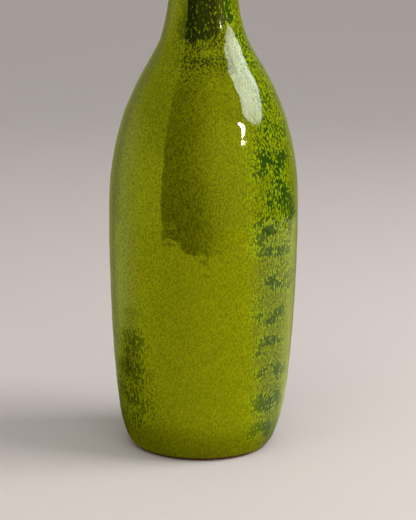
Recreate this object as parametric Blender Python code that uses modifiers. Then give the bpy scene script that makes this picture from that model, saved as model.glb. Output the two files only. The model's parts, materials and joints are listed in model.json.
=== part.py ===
"""Glazed stoneware sake bottle: one thrown clay body and its three coats of glaze.

Frame: metres, +Z up, origin at the middle of the foot on the table, -Y is the front.
Every piece is a turned shape, so each one is a section turned about +Z by a Screw modifier.
Sections are lists of (radius, height) in millimetres.
"""
import math

import bpy

MM = 0.001
OBJECT_NAME = "sake_bottle"

# Driving dimensions, in millimetres.
BELLY_RADIUS = 36.0
BELLY_HEIGHT = 98.0
WAIST_RADIUS = 13.0
WAIST_HEIGHT = 174.0
GLAZE_START = 1.4           # the outer glaze stops this far above the table
GLAZE = 0.5                 # thickness of a coat of glaze
GAP = 0.3                   # air left between touching pieces
CLAY_WALL = 2.6
FOOT_RADIUS = 25.2          # outer edge of the flat ring that the bottle stands on
FOOT_INNER_RADIUS = 20.8
RECESS = 2.6                # depth of the hollow under the foot
CLAY_FLOOR = 3.4            # clay above that hollow
HEEL_FILLET = 15.0          # the inside wall turns into the floor below this height
HEEL_TURN = 13.0            # how far in from the wall the inside floor is flat
STEPS = 36                  # facets round each turned piece

# The outside of the glaze, foot to lip, as (radius, height).
OUTLINE = [
    (BELLY_RADIUS - 9.0, GLAZE_START),
    (BELLY_RADIUS - 7.1, 4.5),
    (BELLY_RADIUS - 4.5, 13.0),
    (BELLY_RADIUS - 2.1, 32.0),
    (BELLY_RADIUS - 0.3, 64.0),
    (BELLY_RADIUS, BELLY_HEIGHT),
    (BELLY_RADIUS - 1.7, BELLY_HEIGHT + 16.0),
    (BELLY_RADIUS - 5.9, BELLY_HEIGHT + 32.0),
    (WAIST_RADIUS + 10.7, WAIST_HEIGHT - 30.0),
    (WAIST_RADIUS + 3.5, WAIST_HEIGHT - 17.0),
    (WAIST_RADIUS, WAIST_HEIGHT),
    (WAIST_RADIUS + 1.3, WAIST_HEIGHT + 16.0),
    (WAIST_RADIUS + 3.4, WAIST_HEIGHT + 27.0),
]


def hermite(a, b, tangent_a, tangent_b, steps):
    """Points from a up to, but without, b on the cubic with those end tangents."""
    points = []
    for k in range(steps):
        s = k / steps
        weights = (2 * s**3 - 3 * s**2 + 1, s**3 - 2 * s**2 + s, 3 * s**2 - 2 * s**3, s**3 - s**2)
        points.append(tuple(
            weights[0] * a[i] + weights[1] * tangent_a[i] + weights[2] * b[i] + weights[3] * tangent_b[i]
            for i in range(2)))
    return points


def smooth_curve(stations, steps):
    """A smooth curve through the stations, with a tangent at each that follows its neighbours."""
    last = len(stations) - 1
    lengths = [0.0]
    for a, b in zip(stations, stations[1:]):
        lengths.append(lengths[-1] + math.dist(a, b))
    slopes = []
    for k in range(last + 1):
        before, after = max(k - 1, 0), min(k + 1, last)
        span = lengths[after] - lengths[before]
        slopes.append([(stations[after][i] - stations[before][i]) / span for i in range(2)])
    points = []
    for k in range(last):
        span = lengths[k + 1] - lengths[k]
        tangents = [[span * value for value in slopes[j]] for j in (k, k + 1)]
        points += hermite(stations[k], stations[k + 1], tangents[0], tangents[1], steps)
    return points + [stations[last]]


def offset(points, distance):
    """The curve moved sideways towards the axis, for a curve that runs upwards."""
    moved = []
    for k, (radius, height) in enumerate(points):
        before, after = points[max(k - 1, 0)], points[min(k + 1, len(points) - 1)]
        length = math.dist(before, after)
        across = (after[1] - before[1]) / length
        along = (after[0] - before[0]) / length
        moved.append((radius - across * distance, height + along * distance))
    return moved


def arc(centre, radius, start, end, steps):
    """Points between two angles in degrees, without either end."""
    angles = [math.radians(start + (end - start) * k / steps) for k in range(1, steps)]
    return [(centre[0] + radius * math.cos(a), centre[1] + radius * math.sin(a)) for a in angles]


outside = smooth_curve(OUTLINE, 2)
clay_outside = offset(outside, GLAZE + GAP)

# The inside of the clay: the wall follows the outside, then turns smoothly into a flat floor.
wall_inside = [p for p in offset(outside, GLAZE + GAP + CLAY_WALL) if p[1] > HEEL_FILLET]
floor_height = RECESS + CLAY_FLOOR
floor_edge = (wall_inside[0][0] - HEEL_TURN, floor_height)
rise = wall_inside[0][1] - floor_height
clay_inside = [(floor_edge[0] / 2, floor_height)]
clay_inside += hermite(floor_edge, wall_inside[0], (1.6 * rise, 0.0), (0.2 * rise, 1.6 * rise), 6)
clay_inside += wall_inside

# The lip is a half round between the two walls, and both coats of glaze follow it.
lip_outer, lip_inner = clay_outside[-1], clay_inside[-1]
lip_centre = ((lip_outer[0] + lip_inner[0]) / 2, (lip_outer[1] + lip_inner[1]) / 2)
lip_radius = math.dist(lip_outer, lip_inner) / 2
lip_tilt = math.degrees(math.atan2(lip_outer[1] - lip_inner[1], lip_outer[0] - lip_inner[0]))


def lip_arc(extra):
    """The half round over the lip, from the inside to the outside, standing off by extra."""
    return arc(lip_centre, lip_radius + extra, lip_tilt + 180.0, lip_tilt, 6)


def clay_body_section():
    """From the middle of the inside floor, over the lip and down the outside to the recess."""
    section = [(0.0, floor_height)] + clay_inside
    section += lip_arc(0.0)
    section += reversed(clay_outside)
    section += [(FOOT_RADIUS + 0.7, 0.5), (FOOT_RADIUS, 0.0), (FOOT_INNER_RADIUS, 0.0)]
    section += [(FOOT_INNER_RADIUS - 0.9, 1.2), (FOOT_INNER_RADIUS - 2.2, RECESS), (0.0, RECESS)]
    return section


def glaze_turn_in(distance):
    """Where the outer glaze ends inside the mouth: the lip, and a point just above the liner."""
    below, lip = offset(clay_inside, distance)[-2:]
    share = GAP / math.dist(below, lip)
    return lip, tuple(below[i] + (lip[i] - below[i]) * share for i in range(2))


def outer_glaze_section():
    """A closed ring: down the outside, back up the clay side, over the lip and into the mouth."""
    section = list(reversed(outside))
    section += offset(outside, GLAZE)
    section += reversed(lip_arc(GAP))
    section += glaze_turn_in(GAP)
    section += reversed(glaze_turn_in(GAP + GLAZE))
    section += lip_arc(GAP + GLAZE)
    return section


def liner_glaze_section():
    """The coat inside, from the middle of the floor up to the lip and back down the clay side."""
    exposed = offset(clay_inside, GAP + GLAZE)[:-1]
    hidden = offset(clay_inside, GAP)[:-1]
    return [(0.0, exposed[0][1])] + exposed + list(reversed(hidden)) + [(0.0, hidden[0][1])]


def base_glaze_section():
    """The glazed disc in the hollow under the foot."""
    edge = FOOT_INNER_RADIUS - 3.0
    top = RECESS - GAP
    return [(0.0, top), (edge, top), (edge + 0.2, top - GLAZE / 2), (edge - 0.2, top - GLAZE),
            (0.0, top - GLAZE)]


def make_material(name, color, roughness):
    material = bpy.data.materials.new(name)
    material.use_nodes = True
    shader = material.node_tree.nodes["Principled BSDF"]
    shader.inputs["Base Color"].default_value = (*color, 1.0)
    shader.inputs["Roughness"].default_value = roughness
    shader.inputs["Metallic"].default_value = 0.0
    return material


def turn(name, section, closed, material, collection):
    """One sub-part: the section as a chain of edges, turned a full circle about +Z."""
    corners = [(radius * MM, 0.0, height * MM) for radius, height in section]
    edges = [(k, k + 1) for k in range(len(corners) - 1)]
    if closed:
        edges.append((len(corners) - 1, 0))
    mesh = bpy.data.meshes.new(name)
    mesh.from_pydata(corners, edges, [])
    mesh.materials.append(material)
    part = bpy.data.objects.new(name, mesh)
    collection.objects.link(part)
    screw = part.modifiers.new("turn", "SCREW")
    screw.axis = "Z"
    screw.angle = math.tau
    screw.steps = STEPS
    screw.render_steps = STEPS
    screw.use_merge_vertices = True
    screw.merge_threshold = 0.00001
    screw.use_smooth_shade = True
    return part


def build():
    for old in list(bpy.data.objects):
        bpy.data.objects.remove(old, do_unlink=True)
    collection = bpy.data.collections.new(OBJECT_NAME)
    bpy.context.scene.collection.children.link(collection)

    clay = make_material("red_clay", (0.13, 0.045, 0.018), 0.85)
    green = make_material("green_glaze", (0.19, 0.20, 0.004), 0.12)
    liner = make_material("liner_glaze", (0.13, 0.15, 0.006), 0.15)
    base = make_material("base_glaze", (0.15, 0.17, 0.005), 0.2)

    turn("clay_body", clay_body_section(), False, clay, collection)
    turn("outer_glaze", outer_glaze_section(), True, green, collection)
    turn("liner_glaze", liner_glaze_section(), False, liner, collection)
    turn("base_glaze", base_glaze_section(), False, base, collection)


build()
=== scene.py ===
# %% [markdown]
# # The looks of a glazed sake bottle
#
# The bottle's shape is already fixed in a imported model: a turned clay body and three coats of glaze.
# This lesson loads that model and makes fine surfaces, finishes, light and a camera around it. Nothing
# in it changes a size. Each step first says what the thing is on a real bottle and how it is made here.

# %% Load the fixed model
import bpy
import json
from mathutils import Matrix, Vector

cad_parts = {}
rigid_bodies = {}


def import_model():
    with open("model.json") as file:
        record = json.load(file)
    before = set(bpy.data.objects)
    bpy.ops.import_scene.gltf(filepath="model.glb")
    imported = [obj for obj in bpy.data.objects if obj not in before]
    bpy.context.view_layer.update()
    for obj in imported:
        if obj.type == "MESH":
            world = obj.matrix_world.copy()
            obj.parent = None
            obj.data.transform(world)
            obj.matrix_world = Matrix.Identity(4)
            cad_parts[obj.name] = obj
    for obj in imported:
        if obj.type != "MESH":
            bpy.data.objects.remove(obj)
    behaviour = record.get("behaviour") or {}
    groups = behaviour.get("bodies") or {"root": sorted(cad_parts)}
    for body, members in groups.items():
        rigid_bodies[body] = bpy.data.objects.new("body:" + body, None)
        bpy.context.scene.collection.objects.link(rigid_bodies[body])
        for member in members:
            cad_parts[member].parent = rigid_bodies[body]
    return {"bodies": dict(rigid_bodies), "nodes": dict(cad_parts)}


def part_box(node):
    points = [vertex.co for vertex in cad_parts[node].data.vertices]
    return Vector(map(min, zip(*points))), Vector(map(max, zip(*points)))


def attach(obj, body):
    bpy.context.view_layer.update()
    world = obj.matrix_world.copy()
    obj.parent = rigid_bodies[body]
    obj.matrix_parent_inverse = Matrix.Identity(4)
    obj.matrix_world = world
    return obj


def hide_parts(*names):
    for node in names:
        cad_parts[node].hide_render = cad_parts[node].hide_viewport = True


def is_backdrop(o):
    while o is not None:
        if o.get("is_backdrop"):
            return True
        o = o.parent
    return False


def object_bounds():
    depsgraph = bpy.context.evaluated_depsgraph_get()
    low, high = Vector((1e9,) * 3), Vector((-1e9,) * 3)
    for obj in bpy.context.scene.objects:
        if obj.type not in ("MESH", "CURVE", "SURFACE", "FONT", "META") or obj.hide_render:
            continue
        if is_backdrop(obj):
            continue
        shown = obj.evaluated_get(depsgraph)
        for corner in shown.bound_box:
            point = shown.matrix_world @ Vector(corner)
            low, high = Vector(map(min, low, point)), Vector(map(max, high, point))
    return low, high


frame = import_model()
cad_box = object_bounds()
print("nodes:", sorted(frame["nodes"]))

# %% Blender's modules and the unit
import json
import math

import bpy
from mathutils import Vector, noise

MM = 0.001
BODY = sorted(frame["bodies"])[0]
scene = bpy.context.scene
print("body:", BODY, "- height in mm:", round((cad_box[1].z - cad_box[0].z) / MM, 1))

# %% [markdown]
# ## The outline
#
# A thrown pot is a turned shape, so one outline decides everything. It could be typed in again, but then
# two files would have to agree. It is read from the outer glaze instead: the corners of that solid that
# lie on its +X side, without those that have a neighbour further out, are the outside from foot to lip.

# %% Read the outside from the model
COAT = 0.5 * MM             # glaze on the model, and the air it leaves to the clay
AIR = 0.3 * MM
CLAY_WALL = 2.6 * MM
glaze_low, glaze_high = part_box("outer_glaze")
LIP_ROUND = CLAY_WALL / 2 + COAT + AIR
LIP_BAND = 1.1 * LIP_ROUND


def meridian(node):
    """Every corner of a CAD node on its +X side, as (radius, height)."""
    corners = {(round(v.co.x, 6), round(v.co.z, 6)) for v in frame["nodes"][node].data.vertices
               if v.co.x > 0 and abs(v.co.y) < 0.01 * MM}
    return sorted(corners, key=lambda corner: corner[1])


def outermost(corners, reach):
    """The corners with no other corner further out at about their own height."""
    return [a for a in corners
            if not any(b[0] > a[0] and abs(a[1] - b[1]) < reach for b in corners)]


outside = outermost(meridian("outer_glaze"), 2 * COAT)
outside = [corner for corner in outside if corner[1] < glaze_high.z - LIP_BAND]
print("outline corners:", len(outside), "widest mm:", round(max(r for r, z in outside) / MM, 2))

# %% [markdown]
# The model's outline has long flat facets. A smooth curve through its corners, read again at short even
# steps, gives the fine outline that the surface needs.

# %% Smooth curves, offsets and arcs
FINE = 0.85 * MM            # length of a facet where the surface is seen
COARSE = 4.0 * MM           # and where it is buried under another piece


def smooth_curve(points, substeps=24):
    """A curve through the points whose direction at each follows its two neighbours."""
    curve = []
    for k in range(len(points) - 1):
        before, a, b, after = (Vector(points[min(max(j, 0), len(points) - 1)]) for j in range(k - 1, k + 3))
        span = (b - a).length
        leave = (b - before) / max((b - a).length + (a - before).length, 1e-9) * span
        arrive = (after - a) / max((b - a).length + (after - b).length, 1e-9) * span
        for j in range(substeps):
            s = j / substeps
            curve.append((2 * s**3 - 3 * s**2 + 1) * a + (s**3 - 2 * s**2 + s) * leave
                         + (3 * s**2 - 2 * s**3) * b + (s**3 - s**2) * arrive)
    return curve + [Vector(points[-1])]


def even(curve, spacing):
    """The same curve with its points at even steps of about the given spacing."""
    lengths = [0.0]
    for a, b in zip(curve, curve[1:]):
        lengths.append(lengths[-1] + (b - a).length)
    count = max(2, round(lengths[-1] / spacing))
    points, k = [], 0
    for j in range(count + 1):
        wanted = lengths[-1] * j / count
        while k < len(curve) - 2 and lengths[k + 1] < wanted:
            k += 1
        share = (wanted - lengths[k]) / max(lengths[k + 1] - lengths[k], 1e-12)
        points.append(curve[k].lerp(curve[k + 1], min(max(share, 0.0), 1.0)))
    return points


def inward(curve, distance):
    """The curve moved towards the axis, for a curve that runs upwards."""
    moved = []
    for k, point in enumerate(curve):
        along = (curve[min(k + 1, len(curve) - 1)] - curve[max(k - 1, 0)]).normalized()
        moved.append(point + Vector((-along.y, along.x)) * distance)
    return moved


def arc(centre, radius, start, end, spacing):
    """Points on a round from start to end, in degrees, with both ends."""
    count = max(3, round(abs(math.radians(end - start)) * radius / spacing))
    angles = [math.radians(start + (end - start) * j / count) for j in range(count + 1)]
    return [centre + Vector((math.cos(a), math.sin(a))) * radius for a in angles]


wall = smooth_curve(outside)
print("smooth wall length mm:", round(sum((b - a).length for a, b in zip(wall, wall[1:])) / MM, 1))

# %% [markdown]
# ## Turning a section
#
# A potter's wheel makes these shapes, and Blender's Spin tool does the same: a chain of points drawn by
# extruding one corner again and again is swept round the upright axis. A Screw modifier would also do,
# but Spin leaves a plain mesh, whose corners the next step can push about as fingers do.

# %% Spin a section into a piece
STEPS = 256


def deselect():
    for obj in list(bpy.context.selected_objects):
        obj.select_set(False)


def turn(name, section, closed):
    """Sweeps a chain of (radius, height) points round +Z. A closed chain gives a ring-shaped shell."""
    deselect()
    bpy.ops.mesh.primitive_plane_add(size=MM)
    piece = bpy.context.object
    piece.name = piece.data.name = name
    bpy.ops.object.mode_set(mode="EDIT")
    bpy.ops.mesh.select_all(action="SELECT")
    bpy.ops.mesh.merge(type="CENTER")
    bpy.ops.transform.translate(value=(section[0].x, 0, section[0].y))
    stops = section[1:] + (section[:1] if closed else [])
    at = section[0]
    for stop in stops:
        step = stop - at
        bpy.ops.mesh.extrude_vertices_move(TRANSFORM_OT_translate={"value": (step.x, 0, step.y)})
        at = stop
    bpy.ops.mesh.select_all(action="SELECT")
    bpy.ops.mesh.remove_doubles(threshold=0.01 * MM)
    bpy.ops.mesh.spin(steps=STEPS, angle=math.tau, center=(0, 0, 0), axis=(0, 0, 1))
    bpy.ops.mesh.select_all(action="SELECT")
    bpy.ops.mesh.remove_doubles(threshold=0.01 * MM)
    bpy.ops.mesh.normals_make_consistent(inside=False)
    bpy.ops.mesh.faces_shade_smooth()
    bpy.ops.object.mode_set(mode="OBJECT")
    print(name, "corners:", len(piece.data.vertices), "faces:", len(piece.data.polygons))
    return piece


# %% [markdown]
# ## Four nested skins
#
# The clay wall sits a coat of glaze inside the outline, and the lip is a half round between its two
# sides. All four sections are offsets of the same wall, so the skins nest as they do on the real bottle.

# %% The clay wall, its inside and the lip
SKIN = COAT + AIR           # depth from the outside to the clay
TOUCH = 0.02 * MM           # hairline left between a coat and what it lies on
liner_low, liner_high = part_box("liner_glaze")
FLOOR = liner_low.z - AIR   # top of the clay floor
HEEL = 15.0 * MM            # below this height the inside wall turns into the floor
HEEL_TURN = 13.0 * MM
HEEL_STEPS = 12
LIP_DROP = 0.06 * MM        # a hair that keeps the finer arc of the lip inside the model's box
LIP_FINE = 0.5 * MM         # facets over the lip where they are seen, and where they are buried
LIP_COARSE = 0.8 * MM

lip_outer = wall[-1]
lip_inner = inward(wall, 2 * LIP_ROUND)[-1]
lip_centre = (lip_outer + lip_inner) / 2 - Vector((0, LIP_DROP))
lip_tilt = math.degrees(math.atan2(lip_outer.y - lip_inner.y, lip_outer.x - lip_inner.x))


def inside_curve(depth, spacing):
    """The inside from the flat of the floor to the lip, that far in from the clay's own surface."""
    upper = [p for p in inward(wall, SKIN + CLAY_WALL) if p.y > HEEL]
    corner, rise = upper[0], upper[0].y - FLOOR
    angles = [math.radians(90 * j / HEEL_STEPS) for j in range(HEEL_STEPS)]
    turn_up = [Vector((corner.x - HEEL_TURN * (1 - math.sin(a)), FLOOR + rise * (1 - math.cos(a))))
               for a in angles]
    return even(inward(turn_up + upper, depth), spacing)


def over_lip(depth, spacing):
    """The half round over the lip from the outside to the inside, that far out from the clay."""
    return arc(lip_centre, CLAY_WALL / 2 + depth, lip_tilt, lip_tilt + 180, spacing)


def round_end(a, b, count=5):
    """Points of a half round that joins a to b, bulging to the right of the way from a to b."""
    middle, reach = (a + b) / 2, (a - b) / 2
    side = Vector((-reach.y, reach.x))
    angles = [math.pi * j / (count + 1) for j in range(1, count + 1)]
    return [middle + reach * math.cos(t) + side * math.sin(t) for t in angles]


print("lip tilt:", round(lip_tilt, 1), "clay floor at mm:", round(FLOOR / MM, 2))

# %% [markdown]
# The outer coat runs from a rounded edge just above the table, up the outside, over the lip and a little
# way down into the mouth. It is a closed shell, so its clay side is there too, in coarser facets.

# %% Outer glaze
MOUTH_TURN_IN = 5.0 * MM

outer_side = even(wall, FINE)
clay_side = even(inward(wall, SKIN - TOUCH), COARSE)
mouth_side = [p for p in inside_curve(SKIN, FINE) if p.y > lip_inner.y - MOUTH_TURN_IN]
mouth_clay_side = [p for p in inside_curve(TOUCH, COARSE) if p.y > lip_inner.y - MOUTH_TURN_IN]
mouth_clay_side = [Vector((mouth_side[0].x + SKIN - TOUCH, mouth_side[0].y))] + mouth_clay_side

outer_section = round_end(clay_side[0], outer_side[0])
outer_section += outer_side + over_lip(SKIN, LIP_FINE)[1:-1] + mouth_side[::-1]
outer_section += mouth_clay_side + over_lip(TOUCH, LIP_COARSE)[::-1][1:-1] + clay_side[::-1]
outer = turn("outer_glaze_coat", outer_section, closed=True)

# %% [markdown]
# The liner is the coat that was poured round the inside. It starts under the edge of the outer coat.

# %% Liner glaze
LINER_FINE = 1.6 * MM
FACE_STOP = 0.4 * MM        # how far under its top edge the liner's face and its back end
BACK_STOP = 1.0 * MM

liner_edge = mouth_side[0].y - TOUCH
liner_face = [p for p in inside_curve(SKIN, LINER_FINE) if p.y < liner_edge - FACE_STOP]
liner_back = [p for p in inside_curve(TOUCH, COARSE) if p.y < liner_edge - BACK_STOP]
liner_top = Vector((mouth_side[0].x, liner_edge))
liner_section = [Vector((0, liner_face[0].y))] + liner_face + [liner_top]
liner_section += [liner_top + Vector((SKIN - 2 * TOUCH, 0))] + liner_back[::-1]
liner_section += [Vector((0, liner_back[0].y))]
liner = turn("liner_glaze_coat", liner_section, closed=False)

# %% [markdown]
# The clay body is buried except for its foot. The foot was turned with a loop tool, which leaves fine
# rings, and its outer edge was rounded off with a finger so that the glaze has somewhere to stop.

# %% Clay body
foot_low, foot_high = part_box("base_glaze")
RECESS_TOP = foot_high.z + AIR
FOOT_EDGE = 24.3 * MM       # where the flat of the foot ring starts and ends
FOOT_INNER = 21.0 * MM
FOOT_BREAK = Vector((-0.3 * MM, 0.2 * MM))      # small bevel on the inner edge of the foot ring
RECESS_EDGE = 18.6 * MM     # the hollow under the foot is flat within this radius
RECESS_MIDDLE = 9.0 * MM
FINGER_HEIGHT = 1.75 * MM   # the rounding of the outer edge: its centre's height, and its facets
FINGER_FINE = 0.35 * MM
RING_PITCH = 0.7 * MM
RING_DEPTH = 0.05 * MM


def turning_rings(start, end):
    """Points along a straight cut from start to end, with the shallow rings that the tool leaves."""
    along = end - start
    count = max(2, 4 * round(along.length / RING_PITCH))
    side = Vector((along.y, -along.x)).normalized()
    return [start + along * (j / count) + side * RING_DEPTH * (0.5 - 0.5 * math.cos(math.pi * j / 2))
            for j in range(count + 1)]


clay_outside = even(inward(wall, SKIN), COARSE)
heel_start = clay_outside[0]
finger = Vector((FOOT_EDGE, FINGER_HEIGHT))
heel_round = arc(finger, heel_start.x - FOOT_EDGE, -5, -80, FINGER_FINE)
heel_round = [Vector((p.x, max(p.y, 0.0))) for p in heel_round]
clay_section = [Vector((0, FLOOR))] + inside_curve(0.0, COARSE)
clay_section += over_lip(0.0, LIP_COARSE)[::-1][1:-1] + clay_outside[::-1] + heel_round
clay_section += [Vector((FOOT_EDGE, 0)), Vector((FOOT_INNER, 0))]
recess_start = Vector((FOOT_INNER, 0)) + FOOT_BREAK
clay_section += turning_rings(recess_start, Vector((RECESS_EDGE, RECESS_TOP)))
clay_section += [Vector((RECESS_MIDDLE, RECESS_TOP)), Vector((0, RECESS_TOP))]
clay = turn("clay_body_turned", clay_section, closed=False)

# %% [markdown]
# Under the foot a little glaze was brushed on. It pools, so it is thickest near the rim of the hollow.

# %% Base glaze
POOL_EDGE = foot_high.x - 0.3 * MM
POOL_STEPS = 12
POOL_DEEPEST = 0.75         # where the pool is thickest, as a share of the way out to its edge
POOL_RISE = 0.25 * MM
pool_top = RECESS_TOP - TOUCH
pool_face = []
for j in range(POOL_STEPS + 1):
    way_out = j / POOL_STEPS
    pool_face.append(Vector((POOL_EDGE * way_out, foot_low.z + POOL_RISE * (way_out - POOL_DEEPEST) ** 2)))
pool_section = [Vector((0, pool_top)), Vector((POOL_EDGE - 0.3 * MM, pool_top))]
pool_section += [Vector((POOL_EDGE + 0.1 * MM, pool_top - POOL_RISE))] + pool_face[::-1]
pool = turn("base_glaze_pool", pool_section, closed=False)

# %% [markdown]
# ## The hand in it
#
# A spun surface is too true. On a thrown pot the fingers leave faint rings, the wall sways by a tenth of
# a millimetre, the neck leans to the left, the heel has slipped half a millimetre the same way, and the
# glaze has the skin of an orange. Every skin is pushed by the same field of amounts, so they stay nested
# to within a few hundredths of a millimetre. The lowest millimetre keeps its turned surface.

# %% How far the hand strays
RINGS = 0.022 * MM          # height of the throwing rings, their pitch, and how far they stray from level
RING_STEP = 11.4 * MM
RING_STRAY = 1.6            # in radians of their wave
RING_STRAY_SIZE = 30 * MM
SWAY, SWAY_SIZE = 0.10 * MM, 38 * MM
PEEL = 0.034 * MM           # the orange skin, in two sizes
PEEL_SIZE, FINE_PEEL_SIZE = 5.5 * MM, 2.8 * MM
FINE_PEEL_SHARE = 0.75
DRAW_IN = 0.13 * MM         # takes the mean surface in, so that the highest bumps stay in the model's box
LEAN = 0.8 * MM
LEAN_FROM, LEAN_TO = 138 * MM, 172 * MM
HEEL_SLIP = 0.45 * MM
SLIP_FROM, SLIP_TO = 2 * MM, 24 * MM
SETTLE_FROM, SETTLE_TO = 1 * MM, 8 * MM
print("rings mm:", round(RINGS / MM, 3), "sway mm:", round(SWAY / MM, 2), "skin mm:", round(PEEL / MM, 3))

# %% Push the corners about
def smooth_step(value, low, high):
    t = min(max((value - low) / (high - low), 0.0), 1.0)
    return t * t * (3 - 2 * t)


def make_thrown(piece):
    """Moves each corner in or out by the hand's amounts, and to the left at the neck and the heel."""
    for corner in piece.data.vertices:
        x, y, z = corner.co
        radius = math.hypot(x, y)
        if radius < MM:
            continue
        place = Vector((x, y, z))
        settle = smooth_step(z, SETTLE_FROM, SETTLE_TO)
        stray = RING_STRAY * noise.noise(place / RING_STRAY_SIZE)
        rings = RINGS * math.sin(math.tau * z / RING_STEP + stray)
        sway = SWAY * noise.noise(place / SWAY_SIZE)
        fine_peel = FINE_PEEL_SHARE * noise.noise(place / FINE_PEEL_SIZE)
        peel = PEEL * (noise.noise(place / PEEL_SIZE) + fine_peel)
        push = settle * (rings + sway + peel - DRAW_IN)
        lean = LEAN * smooth_step(z, LEAN_FROM, LEAN_TO)
        slip = HEEL_SLIP * (1 - smooth_step(z, SLIP_FROM, SLIP_TO))
        corner.co.x += x / radius * push - lean - slip
        corner.co.y += y / radius * push
    piece.data.update()


for piece in (outer, liner, clay, pool):
    make_thrown(piece)
print("thrown, widest mm:", round(max(abs(v.co.x) for v in outer.data.vertices) / MM, 2))

# %% [markdown]
# ## Finishes
#
# Every finish is made of nodes on Object coordinates, in metres, so that a pattern has its real size and
# stays on the pot. A few short helpers keep the node trees readable.

# %% Node helpers
def new_finish(name):
    material = bpy.data.materials.new(name)
    material.use_nodes = True
    return material, material.node_tree, material.node_tree.nodes["Principled BSDF"]


def feed(tree, socket, value):
    """Links value to the socket if it is an output, and sets it otherwise."""
    if isinstance(value, bpy.types.NodeSocket):
        tree.links.new(value, socket)
    else:
        socket.default_value = value


def calc(tree, operation, a, b=0.0, c=0.0, clamp=False):
    node = tree.nodes.new("ShaderNodeMath")
    node.operation = operation
    node.use_clamp = clamp
    for socket, value in zip(node.inputs, (a, b, c)):
        feed(tree, socket, value)
    return node.outputs["Value"]


def vector(tree, operation, a, b=(0.0, 0.0, 0.0), output="Vector"):
    node = tree.nodes.new("ShaderNodeVectorMath")
    node.operation = operation
    feed(tree, node.inputs[0], a)
    feed(tree, node.inputs[1], b)
    return node.outputs[output]


def grain(tree, place, size, detail=2.0, roughness=0.5):
    """Noise of about 0 to 1 whose grains are size across: one number, or one for each axis."""
    sizes = size if isinstance(size, tuple) else (size, size, size)
    node = tree.nodes.new("ShaderNodeTexNoise")
    feed(tree, node.inputs["Vector"], vector(tree, "DIVIDE", place, sizes))
    node.inputs["Scale"].default_value = 1.0
    node.inputs["Detail"].default_value = detail
    node.inputs["Roughness"].default_value = roughness
    return node.outputs["Fac"]


def ramp(tree, value, low, high, to_low=0.0, to_high=1.0):
    """Smoothly from to_low to to_high as value goes from low to high."""
    node = tree.nodes.new("ShaderNodeMapRange")
    node.interpolation_type = "SMOOTHSTEP"
    feed(tree, node.inputs["Value"], value)
    for socket, number in zip(("From Min", "From Max", "To Min", "To Max"), (low, high, to_low, to_high)):
        feed(tree, node.inputs[socket], number)
    return node.outputs["Result"]


def blend(tree, share, a, b, how="MIX"):
    node = tree.nodes.new("ShaderNodeMix")
    node.data_type = "RGBA"
    node.blend_type = how
    feed(tree, node.inputs["Factor"], share)
    feed(tree, node.inputs["A"], a)
    feed(tree, node.inputs["B"], b)
    return node.outputs["Result"]


def bumps(tree, height, depth, strength=1.0, onto=None):
    """Bump whose height of 0 to 1 stands for that depth in metres."""
    node = tree.nodes.new("ShaderNodeBump")
    node.inputs["Strength"].default_value = strength
    node.inputs["Distance"].default_value = depth
    feed(tree, node.inputs["Height"], height)
    if onto is not None:
        tree.links.new(onto, node.inputs["Normal"])
    return node.outputs["Normal"]


def object_place(tree):
    return tree.nodes.new("ShaderNodeTexCoord").outputs["Object"]


def split(tree, place):
    """The x, y and z of a place, by name."""
    node = tree.nodes.new("ShaderNodeSeparateXYZ")
    feed(tree, node.inputs["Vector"], place)
    return node.outputs


NODE_HELPERS = (new_finish, feed, calc, vector, grain, ramp, blend, bumps, object_place, split)
print("node helpers:", [helper.__name__ for helper in NODE_HELPERS])

# %% [markdown]
# ### The green glaze
#
# A copper glaze fires to a clear yellow-green with a fine net of darker green in it. Where it ran thick
# it throws dark crystals, which lie in blotches at the pitch of the throwing rings. Here one map says how
# thick the crystals lie, and one fine grain is thinned or thickened by it. The map is made of soft zones
# on the sides of the pot.

# %% Where the crystals gather
# Each zone: degrees round from the front, half width in degrees, lowest and highest in mm, strength, and
# how far the blotches break it up, from 0 to 1.
RIGHT_FLANK = (54, 25, 12, 126, 0.46, 0.50)
RIGHT_MIDDLE = (50, 20, 76, 126, 0.84, 0.45)
RIGHT_SHOULDER = (66, 28, 112, 172, 0.66, 0.40)
NECK_RUN = (32, 18, 160, 225, 0.90, 0.20)
BACK_RUN = (150, 32, 14, 150, 0.80, 0.62)
BACK_NECK = (-170, 60, 150, 215, 0.60, 0.30)
UPPER_BLOTCHES = ((47, 15, 107, 120, 1.25, 0.4), (55, 15, 94, 106, 1.35, 0.4), (50, 13, 86, 96, 1.15, 0.4),
                  (49, 11, 79, 88, 0.95, 0.4), (58, 13, 65, 77, 1.15, 0.4))
LOWER_BLOTCHES = ((50, 15, 51, 61, 0.95, 0.5), (46, 14, 41, 49, 0.90, 0.5), (53, 16, 29, 39, 1.05, 0.5),
                  (54, 15, 17, 28, 1.12, 0.5), (47, 12, 8, 15, 1.10, 0.5))
GREEN_ZONES = (RIGHT_FLANK, RIGHT_MIDDLE, RIGHT_SHOULDER, NECK_RUN, BACK_RUN, BACK_NECK)
GREEN_ZONES += UPPER_BLOTCHES + LOWER_BLOTCHES
# The two olive zones at the front of the neck are partly crystals and partly painted reflection: they also
# stand for the dark reflection that runs down the front of the neck.
NECK_FRONT_AND_DARK_REFLECTION = (-3, 41, 158, 225, 1.20, 0.10)
NECK_ROOT_AND_DARK_REFLECTION = (-4, 44, 144, 172, 0.68, 0.25)
# The left heel zone is partly crystals and partly painted shade on the shaded lower left of the bottle.
LEFT_HEEL_AND_SHADE = (-68, 37, 11, 58, 0.84, 0.35)
LEFT_FLANK = (-62, 36, 40, 130, 0.40, 0.30)
BACK_LEFT = (-140, 28, 22, 140, 0.60, 0.50)
OLIVE_ZONES = (NECK_FRONT_AND_DARK_REFLECTION, NECK_ROOT_AND_DARK_REFLECTION, LEFT_HEEL_AND_SHADE, LEFT_FLANK, BACK_LEFT)
print("green zones:", len(GREEN_ZONES), "olive zones:", len(OLIVE_ZONES))

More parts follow.
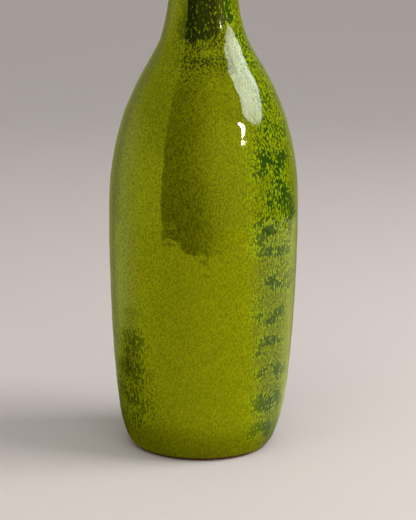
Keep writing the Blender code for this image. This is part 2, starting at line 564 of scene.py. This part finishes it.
# %% [markdown]
# A zone is a patch of the side with soft ends. Its edges drift up and down and to and fro with a slow
# noise, because the glaze ran there, and the blotches open gaps in it. Where zones overlap, the strongest
# one shows, so that small blotches can be laid over a wide faint flank.

# %% Map of the zones
DRIFT_SIZE = 9 * MM
DRIFT_HEIGHT = 16 * MM      # how far the ends of a zone drift up and down
DRIFT_TURN = 0.20           # and its sides, as a cosine
INNER_SHARE = 0.40          # a zone fades from this share of its half width to the next
OUTER_SHARE = 1.35
FOOT_SOFT, FOOT_SHARE = 5.0, 0.3        # softness of its lower end: mm at most, and share of its height
TOP_SOFT, TOP_SHARE = 12.0, 0.4         # and of its upper end


def zone_map(tree, place, zones, blotch):
    """The strongest of the zones at each place, with soft uneven edges."""
    flat = vector(tree, "MULTIPLY", place, (1.0, 1.0, 0.0))
    around = vector(tree, "NORMALIZE", flat)
    drift = calc(tree, "SUBTRACT", grain(tree, place, DRIFT_SIZE, 2.5), 0.5)
    height = calc(tree, "MULTIPLY_ADD", drift, DRIFT_HEIGHT, split(tree, place)["Z"])
    gaps = calc(tree, "SUBTRACT", 1.0, blotch)
    strongest = 0.0
    for degrees, half_width, lowest, highest, strength, broken in zones:
        turn_by = math.radians(degrees)
        facing = vector(tree, "DOT_PRODUCT", around, (math.sin(turn_by), -math.cos(turn_by), 0.0), "Value")
        facing = calc(tree, "MULTIPLY_ADD", drift, DRIFT_TURN, facing)
        full_from = math.cos(math.radians(INNER_SHARE * half_width))
        nothing_past = math.cos(math.radians(OUTER_SHARE * half_width))
        side = ramp(tree, facing, nothing_past, full_from)
        foot_soft = min(FOOT_SOFT, FOOT_SHARE * (highest - lowest))
        top_soft = min(TOP_SOFT, TOP_SHARE * (highest - lowest))
        foot_end = ramp(tree, height, (lowest - foot_soft) * MM, (lowest + foot_soft) * MM)
        top_end = ramp(tree, height, (highest - top_soft) * MM, (highest + top_soft) * MM, 1.0, 0.0)
        here = calc(tree, "MULTIPLY", calc(tree, "MULTIPLY", side, foot_end), top_end)
        here = calc(tree, "MULTIPLY", here, calc(tree, "MULTIPLY_ADD", gaps, -broken, 1.0))
        strongest = calc(tree, "MAXIMUM", calc(tree, "MULTIPLY", here, strength), strongest)
    return strongest


print("a zone fades from", INNER_SHARE, "to", OUTER_SHARE, "of its half width")

# %% [markdown]
# The throwing rings are ever so slightly hollow between their crests, and glaze gathers there. So the
# blotches follow a wave of the rings' own pitch. One noise makes the wave wander and a finer one tears
# the blotches' edges.

# %% Blotches along the rings
WANDER_GRAIN = (9 * MM, 9 * MM, 6.5 * MM)
TORN_GRAIN = (3.2 * MM, 3.2 * MM, 2.6 * MM)
WANDER_PHASE = 4.0
WANDER_SHARE, TORN_SHARE = 7.5, 4.5


def ring_blotches(tree, place):
    """From 0 between the blotches to 1 in them, about twice as wide as they are tall."""
    wander = calc(tree, "SUBTRACT", grain(tree, place, WANDER_GRAIN, 2.0), 0.5)
    turns = calc(tree, "DIVIDE", split(tree, place)["Z"], RING_STEP / math.tau)
    wave = calc(tree, "COSINE", calc(tree, "MULTIPLY_ADD", wander, WANDER_PHASE, turns))
    torn = calc(tree, "SUBTRACT", grain(tree, place, TORN_GRAIN, 2.0), 0.5)
    lumps = calc(tree, "MULTIPLY_ADD", wander, WANDER_SHARE, wave)
    lumps = calc(tree, "MULTIPLY_ADD", torn, TORN_SHARE, lumps)
    return ramp(tree, lumps, -1.5, 1.7)


print("blotches every mm:", round(RING_STEP / MM, 1))

# %% [markdown]
# Under the crystals lies the ground: a bright yellow-green with a net of darker green, a little deeper
# where the coat pooled. Between dark crystals the glaze is lighter and greener than anywhere else,
# because the copper has left it for the crystals, so lime flecks show in the same zones.

# %% The ground of the glaze
YELLOW_GREEN = (0.184, 0.205, 0.0008, 1.0)
NET_GREEN = (0.072, 0.088, 0.0006, 1.0)
LIME = (0.265, 0.380, 0.0015, 1.0)
NET = (0.54 * MM, 0.54 * MM, 0.86 * MM)
POOLS = 16 * MM


def glaze_ground(tree, place, net, crystal_grain, green_here, olive_here):
    """The colour between the crystals."""
    pooled = grain(tree, place, POOLS, 2.0)
    ground = blend(tree, ramp(tree, net, 0.32, 0.68), YELLOW_GREEN, NET_GREEN)
    ground = blend(tree, ramp(tree, pooled, 0.30, 0.70, 0.0, 0.18), ground, NET_GREEN)
    height = split(tree, place)["Z"]
    olive_flecks = calc(tree, "MULTIPLY", olive_here, ramp(tree, height, 70 * MM, 140 * MM, 0.9, 0.3))
    green_flecks = calc(tree, "MULTIPLY", green_here, ramp(tree, height, 58 * MM, 84 * MM, 1.4, 1.6))
    flecked = calc(tree, "MAXIMUM", green_flecks, olive_flecks, clamp=True)
    bright = calc(tree, "MULTIPLY", ramp(tree, crystal_grain, 0.60, 0.36), flecked)
    return blend(tree, bright, ground, LIME)


print("net across, along in mm:", round(NET[0] / MM, 2), round(NET[2] / MM, 2))

# %% [markdown]
# The crystals are the peaks of a grain that is cut off higher where the glaze is thin and lower where it
# is thick, so they go from a few specks to a nearly closed skin. They also grow coarser there. Right zones
# throw dark green ones and left zones darker olive ones. The olive is partly painted shade of the shaded
# left side and painted dark reflection at the front of the neck.

# %% The crystals
DARK_GREEN = (0.010, 0.045, 0.003, 1.0)
# painted shade and reflection: the olive is darker than the green partly for the shaded left and the neck's
# dark reflection
DARK_OLIVE_AND_SHADE = (0.013, 0.021, 0.002, 1.0)
CRYSTAL = (0.80 * MM, 0.80 * MM, 1.45 * MM)
CUT_THIN, CUT_FALL = 0.80, -0.44        # the cut on bare ground, and how far it falls where it is thick
CUT_SOFT = 0.09


def crystal_cut(tree, crystal_grain, thick):
    """From 0 on the ground to 1 in a crystal."""
    cut = calc(tree, "MULTIPLY_ADD", thick, CUT_FALL, CUT_THIN)
    below, above = calc(tree, "SUBTRACT", cut, CUT_SOFT), calc(tree, "ADD", cut, CUT_SOFT)
    return ramp(tree, crystal_grain, below, above)


def crystal_color(tree, green_here, olive_here):
    """Dark green, or dark olive that is partly painted shade and painted reflection, after whichever zone
    is the stronger.
    """
    greener = ramp(tree, calc(tree, "SUBTRACT", green_here, olive_here), -0.15, 0.15)
    return blend(tree, greener, DARK_OLIVE_AND_SHADE, DARK_GREEN)


print("crystals across, along in mm:", round(CRYSTAL[0] / MM, 2), round(CRYSTAL[2] / MM, 2))

# %% The glaze itself
SMEAR = 9 * MM
SKIN_GRAIN, SKIN_DEPTH = 1.7 * MM, 0.018 * MM
CRYSTAL_DEPTH = 0.003 * MM


def green_glaze(name, green_zones, olive_zones, everywhere):
    """Yellow-green glaze with a fine dark net, and dark crystals where the zones lie."""
    material, tree, shader = new_finish(name)
    place = object_place(tree)
    blotch = ring_blotches(tree, place)
    green_here = zone_map(tree, place, green_zones, blotch)
    olive_here = zone_map(tree, place, olive_zones, blotch)
    thick = calc(tree, "MAXIMUM", green_here, olive_here)
    thick = calc(tree, "ADD", thick, everywhere, clamp=True)

    net = grain(tree, place, NET, 0.8, 0.5)
    coarser = calc(tree, "SUBTRACT", grain(tree, place, CRYSTAL, 1.6, 0.5), net)
    crystal_grain = calc(tree, "MULTIPLY_ADD", coarser, thick, net, clamp=True)
    crystals = crystal_cut(tree, crystal_grain, thick)
    cover = calc(tree, "MULTIPLY", crystals, calc(tree, "MULTIPLY_ADD", thick, 0.25, 0.75, clamp=True))
    ground = glaze_ground(tree, place, net, crystal_grain, green_here, olive_here)
    # the olive crystals carry painted shade and painted reflection as well as their own colour
    dark = crystal_color(tree, green_here, olive_here)
    feed(tree, shader.inputs["Base Color"], blend(tree, cover, ground, dark))

    smear = grain(tree, place, SMEAR, 3.0)
    feed(tree, shader.inputs["Roughness"], ramp(tree, smear, 0.3, 0.75, 0.03, 0.08))
    peel = bumps(tree, grain(tree, place, SKIN_GRAIN, 1.0), SKIN_DEPTH)
    feed(tree, shader.inputs["Normal"], bumps(tree, crystals, CRYSTAL_DEPTH, onto=peel))
    shader.inputs["IOR"].default_value = 1.62
    shader.inputs["Specular IOR Level"].default_value = 0.85
    shader.inputs["Specular Tint"].default_value = (0.95, 1.0, 0.35, 1.0)
    shader.inputs["Coat Weight"].default_value = 0.6
    shader.inputs["Coat Roughness"].default_value = 0.03
    shader.inputs["Coat IOR"].default_value = 1.5
    return material


print("skin of the glaze: bumps of", round(SKIN_DEPTH / MM, 3), "mm every", round(SKIN_GRAIN / MM, 1), "mm")

# %% [markdown]
# The same glaze was used three times. The liner and the small pool under the foot have fewer runs, but
# they cooled slower, so fine crystals lie all over them.

# %% Glaze the three coats
def finish_with(piece, material, slot_name, *nodes):
    """Gives the piece its finish, and lets it ride on the body and stand for those solids."""
    piece.data.materials.clear()
    piece.data.materials.append(material)
    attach(piece, BODY)
    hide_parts(*nodes)
    print(piece.name, "is finished in", material.name)


outside_glaze = green_glaze("green_glaze", GREEN_ZONES, OLIVE_ZONES, 0.06)
inside_glaze = green_glaze("liner_green", (NECK_RUN,), (BACK_LEFT,), 0.18)
foot_glaze = green_glaze("base_green", (BACK_RUN,), (BACK_LEFT,), 0.22)
finish_with(outer, outside_glaze, "green_glaze", "outer_glaze")
finish_with(liner, inside_glaze, "liner_glaze", "liner_glaze")
finish_with(pool, foot_glaze, "base_glaze", "base_glaze")

# %% [markdown]
# ### The bare clay
#
# Iron-rich stoneware fires to a warm red-brown. Just under the edge of the glaze it is painted darker, as
# painted shade under the glaze's overhang. It is matt, with sand in it and the fine rings of the
# turning tool.

# %% Red clay
RED_CLAY = (0.150, 0.036, 0.016, 1.0)
# painted shade: the darker clay colour just under the edge of the glaze
SHADED_CLAY = (0.060, 0.014, 0.008, 1.0)
PALE_SAND = (0.330, 0.200, 0.110, 1.0)
CLAY_SHADE_FROM, CLAY_SHADE_TO = 0.7 * MM, 1.8 * MM       # heights between which the clay darkens
MOTTLE, SAND = 5 * MM, 0.5 * MM
GRIT, GRIT_DEPTH = 0.35 * MM, 0.05 * MM


def red_clay(name):
    """Matt red stoneware with sand in it, with painted shade up against the glaze."""
    material, tree, shader = new_finish(name)
    place = object_place(tree)
    # painted shade under the glaze's edge: the clay gets darker towards the top of its bare band
    under_glaze_shade = ramp(tree, split(tree, place)["Z"], CLAY_SHADE_FROM, CLAY_SHADE_TO)
    mottle = grain(tree, place, MOTTLE, 3.0)
    darker = calc(tree, "MULTIPLY_ADD", under_glaze_shade, 0.5, calc(tree, "MULTIPLY", mottle, 0.5))
    body = blend(tree, darker, RED_CLAY, SHADED_CLAY)
    sand = ramp(tree, grain(tree, place, SAND, 1.0), 0.66, 0.74)
    feed(tree, shader.inputs["Base Color"], blend(tree, calc(tree, "MULTIPLY", sand, 0.5), body, PALE_SAND))
    feed(tree, shader.inputs["Roughness"], ramp(tree, mottle, 0.3, 0.7, 0.72, 0.92))
    grit = grain(tree, place, GRIT, 3.0, 0.6)
    feed(tree, shader.inputs["Normal"], bumps(tree, grit, GRIT_DEPTH))
    return material


finish_with(clay, red_clay("red_clay"), "red_clay", "clay_body")

# %% [markdown]
# ## The floor and the light
#
# The bottle stands on a pale floor that curves up far away, like a studio sweep bent into a wide bowl, so
# that it is the same from every side. The floor is matt and is hidden from the gloss, which sees a room of
# its own further down.

# %% Pale floor
FLOOR_FLAT = 1.0            # radius of the flat, in metres
FLOOR_RISE = 1.6            # radius of the curve that lifts it
FLOOR_COLOR = (0.605, 0.568, 0.570, 1.0)
FLOOR_SIDES = 96
FLOOR_TURNS = 10
deselect()
bpy.ops.mesh.primitive_circle_add(vertices=FLOOR_SIDES, radius=FLOOR_FLAT, fill_type="TRIFAN")
sweep = bpy.context.object
sweep.name = "pale_floor"
bpy.ops.object.mode_set(mode="EDIT")
bpy.ops.mesh.select_all(action="SELECT")
bpy.ops.mesh.region_to_loop()
at_radius, at_height = FLOOR_FLAT, 0.0
for j in range(1, FLOOR_TURNS + 1):
    angle = math.radians(90 * j / FLOOR_TURNS)
    next_radius = FLOOR_FLAT + FLOOR_RISE * math.sin(angle)
    next_height = FLOOR_RISE * (1 - math.cos(angle))
    grow = next_radius / at_radius
    bpy.ops.mesh.extrude_edges_move(TRANSFORM_OT_translate={"value": (0, 0, next_height - at_height)})
    bpy.ops.transform.resize(value=(grow, grow, 1), center_override=(0, 0, next_height))
    at_radius, at_height = next_radius, next_height
bpy.ops.mesh.select_all(action="SELECT")
bpy.ops.mesh.normals_make_consistent(inside=True)
bpy.ops.mesh.faces_shade_smooth()
bpy.ops.object.mode_set(mode="OBJECT")
floor_finish, floor_tree, floor_shader = new_finish("pale_floor")
floor_shader.inputs["Base Color"].default_value = FLOOR_COLOR
floor_shader.inputs["Roughness"].default_value = 0.8
floor_shader.inputs["Specular IOR Level"].default_value = 0.1
sweep.data.materials.append(floor_finish)
sweep.visible_glossy = False
sweep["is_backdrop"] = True
print("floor reaches m:", round(at_radius, 2), "and rises m:", round(at_height, 2))

# %% [markdown]
# Three soft lights shape the body. A window high on the right lights the front and that side, and throws
# the soft shadow to the left. A wide fill from above the front keeps the glaze bright. A panel far behind
# shines straight down on the floor and lets it fall off from light to grey towards the back. None of them
# shows in the gloss.

# %% Directions round the bottle
EYE = 0.09                  # height above the floor that directions are taken from


def toward(azimuth, elevation, distance):
    """A place seen from the bottle: azimuth 0 is the front and 90 the right, in degrees."""
    a, e = math.radians(azimuth), math.radians(elevation)
    level = Vector((math.sin(a) * math.cos(e), -math.cos(a) * math.cos(e), math.sin(e)))
    return level * distance + Vector((0, 0, EYE))


def on_floor(azimuth, distance):
    """A place on the floor that far from the bottle's axis."""
    a = math.radians(azimuth)
    return Vector((math.sin(a) * distance, -math.cos(a) * distance, 0))


print("the right, seen from the bottle:", [round(c, 2) for c in toward(90, 0, 1.0)])


# %% Three soft lights
def area_light(name, azimuth, elevation, distance, size, watts, color):
    """A rectangle of soft light that faces the bottle and doesn't show in its gloss."""
    deselect()
    place = toward(azimuth, elevation, distance)
    bpy.ops.object.light_add(type="AREA", location=place)
    lamp = bpy.context.object
    lamp.name = name
    lamp.rotation_euler = (Vector((0, 0, EYE)) - place).to_track_quat("-Z", "Y").to_euler()
    lamp.data.shape = "RECTANGLE"
    lamp.data.size, lamp.data.size_y = size
    lamp.data.energy = watts
    lamp.data.color = color
    lamp.visible_camera = False
    lamp.visible_glossy = False
    print(name, "watts:", watts)
    return lamp


GLOW_HEIGHT = 0.95
area_light("window_light", 82, 38, 1.0, (0.62, 0.62), 9.1, (1.0, 0.97, 0.95))
area_light("front_fill", -8, 56, 1.5, (1.6, 1.2), 9.2, (1.0, 0.97, 0.94))
backdrop_glow = area_light("backdrop_glow", 180, 0, 1.8, (1.8, 0.8), 1.10, (1.0, 0.96, 0.92))
backdrop_glow.location.z = GLOW_HEIGHT
backdrop_glow.rotation_euler = (0, 0, 0)

# %% [markdown]
# ## What the gloss sees
#
# A glossy pot shows the whole room, so the room is built for reflections only, from plain cards that
# neither the camera nor the soft light can see: walls, a table, a bright window high on the right, a small
# lamp beside it and a dark doorway in front. They shape the highlights and light nothing else. A card only
# glows, with the strength that the gloss should show, and it can fade away at an edge.

# %% Reflection cards
def only_in_gloss(card):
    """Stage dressing that shows in reflections and nowhere else."""
    card.visible_camera = False
    card.visible_diffuse = False
    card.visible_shadow = False
    card.visible_transmission = False
    card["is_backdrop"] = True


def glow(name):
    """A finish that only glows, and the sockets of its colour and strength."""
    material, tree, shader = new_finish(name)
    tree.nodes.remove(shader)
    light = tree.nodes.new("ShaderNodeEmission")
    tree.links.new(light.outputs["Emission"], tree.nodes["Material Output"].inputs["Surface"])
    return material, tree, light


def see_through(tree, light, amount):
    """Lets the card fade away where the amount goes from 0 to 1."""
    clear = tree.nodes.new("ShaderNodeBsdfTransparent")
    mixed = tree.nodes.new("ShaderNodeMixShader")
    feed(tree, mixed.inputs["Fac"], amount)
    tree.links.new(light.outputs["Emission"], mixed.inputs[1])
    tree.links.new(clear.outputs["BSDF"], mixed.inputs[2])
    tree.links.new(mixed.outputs["Shader"], tree.nodes["Material Output"].inputs["Surface"])


def panel(name, outline, color, strength):
    """A card that glows in reflections only: a fan from the middle of its outline to each corner."""
    deselect()
    bpy.ops.mesh.primitive_circle_add(vertices=len(outline), radius=1.0, fill_type="TRIFAN")
    card = bpy.context.object
    card.name = name
    centre = sum(outline, Vector()) / len(outline)
    rim = [v for v in card.data.vertices if v.co.length > 0.5]
    for corner in card.data.vertices:
        corner.co = centre
    for corner, spot in zip(rim, outline):
        corner.co = spot
    material, tree, light = glow(name)
    light.inputs["Color"].default_value = color
    light.inputs["Strength"].default_value = strength
    card.data.materials.append(material)
    only_in_gloss(card)
    print(name, "corners:", len(outline), "glows:", strength)
    return tree, light


def gloss_directions(tree):
    """Degrees round from the front, from -180 to 180, the place and its height, for a card."""
    place = object_place(tree)
    parts = split(tree, place)
    round_by = calc(tree, "ARCTAN2", parts["X"], calc(tree, "MULTIPLY", parts["Y"], -1.0))
    return calc(tree, "MULTIPLY", round_by, 180 / math.pi), place, parts["Z"]


print("card helpers:", [helper.__name__ for helper in (glow, see_through, panel, gloss_directions)])

# %% [markdown]
# The room is a ball round everything, warm and bright in front, hazy on the left, dim under the window on
# the right and dim behind. Its light is yellow-green like the glaze, because light that goes into such a
# glaze comes back tinted. The border between wall and ceiling rises towards the right.

# %% The room in the gloss
ROOM_RADIUS = 1.5
FRONT_ROOM = (0.84, 0.90, 0.05, 1.0)
LEFT_HAZE = (0.66, 0.70, 0.17, 1.0)
UNDER_WINDOW = (0.12, 0.16, 0.012, 1.0)
CEILING = (0.44, 0.48, 0.03, 1.0)
BACK_ROOM = (0.26, 0.27, 0.10, 1.0)
CEILING_RISE = 0.38         # how much higher the ceiling starts on the right, in metres
MIDDLE_OF_FRONT = 9         # degrees round to the right, opposite the middle of the dim back
deselect()
bpy.ops.mesh.primitive_uv_sphere_add(segments=48, ring_count=24, radius=ROOM_RADIUS)
room = bpy.context.object
room.name = "gloss_room"
room_finish, tree, light = glow("gloss_room")
degrees, place, height = gloss_directions(tree)
to_right = ramp(tree, degrees, -40, 10)
high = ramp(tree, calc(tree, "MULTIPLY_ADD", to_right, -CEILING_RISE, height), 0.20, 0.72)
wall = blend(tree, ramp(tree, degrees, -78, -112), FRONT_ROOM, LEFT_HAZE)
wall = blend(tree, high, wall, CEILING)
wall = blend(tree, ramp(tree, degrees, 50, 84), wall, UNDER_WINDOW)
behind = calc(tree, "ABSOLUTE", calc(tree, "SUBTRACT", degrees, MIDDLE_OF_FRONT))
wall = blend(tree, ramp(tree, behind, 116, 148), wall, BACK_ROOM)
feed(tree, light.inputs["Color"], wall)
room.data.materials.append(room_finish)
only_in_gloss(room)
print("room across m:", 2 * ROOM_RADIUS)

# %% [markdown]
# The table is a disc on the floor, brightest in front. It is dim round the foot, where the bottle hides
# the light from it, and in the bottle's own shadow on the left.

# %% The table in the gloss
TABLE_EDGE = 0.50
TABLE_SHADE = (0.46, 0.48, 0.03, 1.0)
TABLE_LEFT = (0.78, 0.80, 0.025, 1.0)
TABLE_FRONT = (1.02, 1.06, 0.025, 1.0)
TABLE_RIM = (0.60, 0.64, 0.24, 1.0)
TABLE_RIGHT = (0.42, 0.46, 0.23, 1.0)
FOOT_SHADE_AT = (-9 * MM, 2 * MM, 0.0)
SHADOW_AT = (-85 * MM, 14 * MM, 0.0)
DIM = 0.30
deselect()
bpy.ops.mesh.primitive_circle_add(vertices=64, radius=TABLE_EDGE, fill_type="TRIFAN")
table = bpy.context.object
table.name = "gloss_table"
table_finish, tree, light = glow("gloss_table")
degrees, place, height = gloss_directions(tree)
out_from_foot = vector(tree, "LENGTH", place, output="Value")
left_top = blend(tree, ramp(tree, out_from_foot, 0.12, 0.26), TABLE_SHADE, LEFT_HAZE)
top = blend(tree, ramp(tree, degrees, -45, 20), TABLE_LEFT, TABLE_FRONT)
top = blend(tree, ramp(tree, degrees, -72, -108), top, left_top)
top = blend(tree, ramp(tree, degrees, 48, 86), top, TABLE_RIGHT)
top = blend(tree, ramp(tree, degrees, 96, 126), top, TABLE_RIM)
behind = calc(tree, "ABSOLUTE", calc(tree, "SUBTRACT", degrees, MIDDLE_OF_FRONT))
top = blend(tree, ramp(tree, behind, 121, 150), top, BACK_ROOM)
from_foot = vector(tree, "LENGTH", vector(tree, "SUBTRACT", place, FOOT_SHADE_AT), output="Value")
foot_shade = ramp(tree, from_foot, 28 * MM, 60 * MM, DIM, 1.0)
to_shadow = vector(tree, "SUBTRACT", place, SHADOW_AT)
to_shadow = vector(tree, "LENGTH", vector(tree, "MULTIPLY", to_shadow, (0.5, 1.0, 0.0)), output="Value")
bottle_shadow = ramp(tree, to_shadow, 20 * MM, 90 * MM, DIM, 1.0)
feed(tree, light.inputs["Color"], top)
feed(tree, light.inputs["Strength"], calc(tree, "MULTIPLY", foot_shade, bottle_shadow))
table.data.materials.append(table_finish)
only_in_gloss(table)
print("table across m:", 2 * TABLE_EDGE)

# %% [markdown]
# The window is a card with a ragged outline, which a thin curtain and the wall beside it give the real
# one. It is dimmer low down, and the curtain makes it uneven. The lamp is a small bright card beside its
# lower corner. Corners are given as degrees round and degrees up, as the bottle sees them.

# %% Window and lamp
CARD_AWAY = 1.1
WINDOW = ((63, 60), (62, 46), (63, 38), (64, 31), (68, 26), (76, 21), (83, 20), (92, 21), (99, 24),
          (106, 26), (111, 29), (111, 37), (106, 54), (96, 62))
LAMP = ((49.5, 28), (52, 28.8), (55, 27.2), (54.6, 25.8), (58.5, 24.6), (60, 22.6), (57.5, 20.8),
        (52.5, 20.2), (54.5, 22.6), (52, 24.4), (50, 26))
WINDOW_COLOR = (0.60, 0.62, 1.0, 1.0)
LAMP_COLOR = (0.70, 0.72, 1.0, 1.0)
LAMP_GLOW = 60.0
CURTAIN_FOLDS = 0.10
CURTAIN_THICK, CURTAIN_THIN = 4.4, 6.3
window = [toward(a, e, CARD_AWAY) for a, e in WINDOW]
tree, light = panel("window_card", window, WINDOW_COLOR, CURTAIN_THIN)
degrees, place, height = gloss_directions(tree)
sky = ramp(tree, height, 0.44, 0.70, 0.62, 1.0)
curtain = ramp(tree, grain(tree, place, CURTAIN_FOLDS, 2.0), 0.32, 0.68, CURTAIN_THICK, CURTAIN_THIN)
feed(tree, light.inputs["Strength"], calc(tree, "MULTIPLY", sky, curtain))
panel("lamp_card", [toward(a, e, CARD_AWAY) for a, e in LAMP], LAMP_COLOR, LAMP_GLOW)

# %% [markdown]
# The neck would show the lamp as a second big spot. A lampshade in two halves stands close by, between
# the neck and the lamp, and leaves a slot a few millimetres high, so only a small glint gets through. The
# body looks at the lamp from below the shade and still sees all of it. Likewise a small dark shade stands
# close to the neck and is seen by nothing lower down. It fades out at its foot and to the right. Their
# corners are given as degrees round and height in metres.

# %% Shades near the neck
LAMPSHADE_AWAY = 0.25
SHADE_LOW = ((48, 0.2350), (62, 0.2350), (62, 0.2565), (53, 0.2565), (52, 0.2535), (45, 0.2535))
SHADE_HIGH = ((45, 0.2560), (60, 0.2560), (60, 0.2900), (45, 0.2900))
for name, corners in (("lampshade_low", SHADE_LOW), ("lampshade_high", SHADE_HIGH)):
    panel(name, [on_floor(a, LAMPSHADE_AWAY) + Vector((0, 0, z)) for a, z in corners], CEILING, 1.0)

NECK_SHADE_AWAY = 0.045
DARK = (1.0, 1.0, 0.2, 1.0)
NECK_SHADE_FOOT = ((-12, 0.163), (5, 0.163), (20, 0.164), (31, 0.166), (37, 0.169), (48, 0.172),
                   (60, 0.174))
NECK_SHADE_TOP = ((60, 0.186), (45, 0.186), (30, 0.186), (15, 0.186), (0, 0.186), (-12, 0.186))
NECK_SHADE = NECK_SHADE_FOOT + NECK_SHADE_TOP
neck_shade = [on_floor(a, NECK_SHADE_AWAY) + Vector((0, 0, z)) for a, z in NECK_SHADE]
tree, light = panel("neck_shade", neck_shade, DARK, 0.10)
degrees, place, height = gloss_directions(tree)
slanting = calc(tree, "MULTIPLY_ADD", degrees, -0.05 * MM, height)
below = ramp(tree, slanting, 0.1635, 0.1740, 1.0, 0.0)
beside = ramp(tree, degrees, 24, 56, 0.0, 0.7)
see_through(tree, light, calc(tree, "MAXIMUM", below, beside))

# %% [markdown]
# The dark doorway is what makes the long dark streak down the middle. It stands half a metre in front, its
# foot lies on the table in an uneven curve, and it reaches high overhead. It fades away to the right,
# further over the higher it goes, and is thin towards its top.

# %% Dark doorway
DOORWAY_FOOT = ((-50, 0.487), (-38, 0.483), (-28, 0.465), (-18, 0.41), (-8, 0.365), (4, 0.352), (14, 0.37),
                (45, 0.45))
DOORWAY_SIDES = ((45, 30), (45, 66), (-62, 66), (-55, 40), (-52.5, 25), (-50, 10))
DOORWAY_AWAY = 0.47
doorway = [on_floor(a, d) for a, d in DOORWAY_FOOT]
doorway += [toward(a, e, DOORWAY_AWAY) for a, e in DOORWAY_SIDES]
tree, light = panel("dark_doorway", doorway, DARK, 0.02)
degrees, place, height = gloss_directions(tree)
upwards = calc(tree, "DIVIDE", calc(tree, "SUBTRACT", height, EYE), DOORWAY_AWAY)
slanting = calc(tree, "MULTIPLY_ADD", calc(tree, "MINIMUM", upwards, 0.2), 45.0, degrees)
past = ramp(tree, slanting, -20, 32)
thinner = ramp(tree, upwards, 0.52, 0.80, 0.0, 0.45)
over = ramp(tree, upwards, 0.80, 0.90)
see_through(tree, light, calc(tree, "MAXIMUM", past, calc(tree, "MAXIMUM", thinner, over)))

# %% [markdown]
# The rest of the light is plain warm air from all round.

# %% Air
AIR_COLOR = (1.0, 0.95, 0.90, 1.0)
AIR_GLOW = 0.42
world = bpy.data.worlds.new("air")
scene.world = world
world.use_nodes = True
world.node_tree.nodes["Background"].inputs["Color"].default_value = AIR_COLOR
world.node_tree.nodes["Background"].inputs["Strength"].default_value = AIR_GLOW
print("air glows:", AIR_GLOW)

# %% [markdown]
# ## The camera
#
# A long lens from about two thirds of a metre, twelve degrees above the floor, close enough to crop the
# mouth, with the hair of roll that a hand-held camera has.

# %% Camera
LENS = 120.0
FILM_WIDTH = 36.0
CAMERA_DISTANCE = 0.666
CAMERA_PITCH = math.radians(12)
CAMERA_ROLL = math.radians(0.6)
AIM = Vector((1.9 * MM, 0, 72.1 * MM))
bpy.ops.object.camera_add()
camera = bpy.context.object
camera.name = "camera"
camera.data.lens = LENS
camera.data.sensor_width = FILM_WIDTH
back = Vector((0, -math.cos(CAMERA_PITCH), math.sin(CAMERA_PITCH)))
camera.location = AIM + back * CAMERA_DISTANCE
camera.rotation_euler = (math.radians(90) - CAMERA_PITCH, 0, 0)
camera.rotation_euler.rotate_axis("Z", CAMERA_ROLL)
camera.data.clip_start = 0.05
scene.camera = camera
scene.view_settings.view_transform = "Standard"
print("camera at m:", [round(c, 3) for c in camera.location])

# %% [markdown]
# ## The sizes
#
# The looks must stay inside the box of the model, so the sizes of both boxes are printed together.

# %% Sizes
looks_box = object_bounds()
sizes = {"cad": [list(cad_box[0]), list(cad_box[1])], "looks": [list(looks_box[0]), list(looks_box[1])]}
for label, (low, high) in sizes.items():
    print(label, "mm:", [round((b - a) / MM, 2) for a, b in zip(low, high)])
